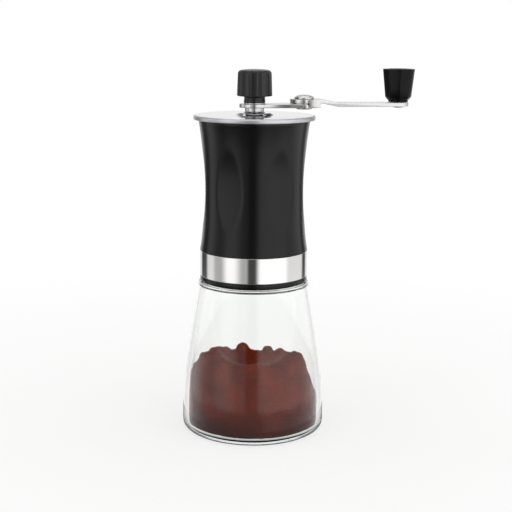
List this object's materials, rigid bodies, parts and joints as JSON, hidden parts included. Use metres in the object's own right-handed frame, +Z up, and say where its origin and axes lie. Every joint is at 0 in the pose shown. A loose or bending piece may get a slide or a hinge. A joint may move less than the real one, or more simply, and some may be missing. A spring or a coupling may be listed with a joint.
{
  "type": "hand crank coffee grinder",
  "caption": "Hand crank coffee grinder with a glass jar, a waisted black mill body, a steel band and lid, and a folding crank with a tapered knob.",
  "frame": {"origin": "centre of the jar's base", "axes": "+Z up along the shaft, +X along the crank at rest, -Y the side the stop lug faces"},
  "size_m": [0.1222, 0.0756, 0.1918],
  "materials": {
    "clear_glass": "polished",
    "ground_coffee": "matte",
    "black_plastic": "satin",
    "knob_plastic": "satin",
    "inner_plastic": "matte",
    "polished_steel": "polished",
    "brushed_steel": "brushed",
    "spring_steel": "bright",
    "ceramic": "matte",
    "brass": "machined",
    "silicone": "matte"
  },
  "bodies": {
    "jar": {"glass_jar": "clear_glass", "coffee_grounds": "ground_coffee"},
    "seal": {"jar_seal": "silicone"},
    "mill": {"mill_body": "black_plastic", "steel_band": "polished_steel", "outer_burr": "ceramic", "burr_retainer": "inner_plastic", "lower_bush": "brass", "upper_bush": "brass"},
    "lid": {"lid": "polished_steel", "lid_insert": "black_plastic"},
    "shaft": {"shaft": "brushed_steel", "thrust_washer": "brushed_steel", "shaft_clip": "spring_steel", "burr_spring": "spring_steel"},
    "burr": {"inner_burr": "ceramic", "burr_core": "inner_plastic", "spring_washer": "brushed_steel", "detent_washer": "spring_steel"},
    "nut": {"adjust_nut": "inner_plastic"},
    "crank": {"crank_link": "polished_steel", "crank_collar": "brushed_steel", "pivot_rivet": "polished_steel", "pivot_washer": "brushed_steel"},
    "arm": {"crank_arm": "polished_steel", "handle_pin": "brushed_steel"},
    "handle": {"handle_knob": "knob_plastic"},
    "lock_base": {"lock_washer": "brushed_steel"},
    "lock": {"lock_knob": "knob_plastic", "lock_insert": "brass"}
  },
  "joints": [
    {"name": "head_rise", "type": "slide", "parent": "jar", "child": "seal", "axis": [0, 0, 1], "range_m": [0, 0.006]},
    {"name": "head_unscrew", "type": "hinge", "parent": "seal", "child": "mill", "pos_m": [0, 0, 0.087], "axis": [0, 0, 1], "range_deg": [0, 540]},
    {"name": "lid_lift", "type": "slide", "parent": "mill", "child": "lid", "axis": [0, 0, 1], "range_m": [0, 0.03]},
    {"name": "crank_spin", "type": "hinge", "parent": "mill", "child": "shaft", "pos_m": [0, 0, 0.122], "axis": [0, 0, 1], "continuous": true},
    {"name": "burr_travel", "type": "slide", "parent": "shaft", "child": "burr", "axis": [0, 0, 1], "range_m": [0, 0.0012], "deforming": ["burr_spring"]},
    {"name": "grind_adjust", "type": "hinge", "parent": "burr", "child": "nut", "pos_m": [0, 0, 0.0866], "axis": [0, 0, 1], "range_deg": [0, 540]},
    {"name": "crank_lift", "type": "slide", "parent": "shaft", "child": "crank", "axis": [0, 0, 1], "range_m": [0, 0.0375]},
    {"name": "crank_fold", "type": "hinge", "parent": "crank", "child": "arm", "pos_m": [0.026, 0, 0.175], "axis": [0, 0, 1], "range_deg": [0, 110]},
    {"name": "knob_spin", "type": "hinge", "parent": "arm", "child": "handle", "pos_m": [0.076, 0, 0.18], "axis": [0, 0, 1], "continuous": true},
    {"name": "lock_lift", "type": "slide", "parent": "shaft", "child": "lock_base", "axis": [0, 0, 1], "range_m": [0, 0.045]},
    {"name": "lock_turn", "type": "hinge", "parent": "lock_base", "child": "lock", "pos_m": [0, 0, 0.178], "axis": [0, 0, 1], "range_deg": [0, 4320]}
  ],
  "couplings": [
    {"joint": "head_rise", "follows": "head_unscrew", "m_per_rad": 0.0006366},
    {"joint": "grind_adjust", "follows": "burr_travel", "rad_per_m": 7853.9},
    {"joint": "crank_lift", "follows": "lid_lift", "ratio": 1.25},
    {"joint": "lock_lift", "follows": "lid_lift", "ratio": 1.5},
    {"joint": "lock_turn", "follows": "lid_lift", "rad_per_m": 2513.3}
  ]
}
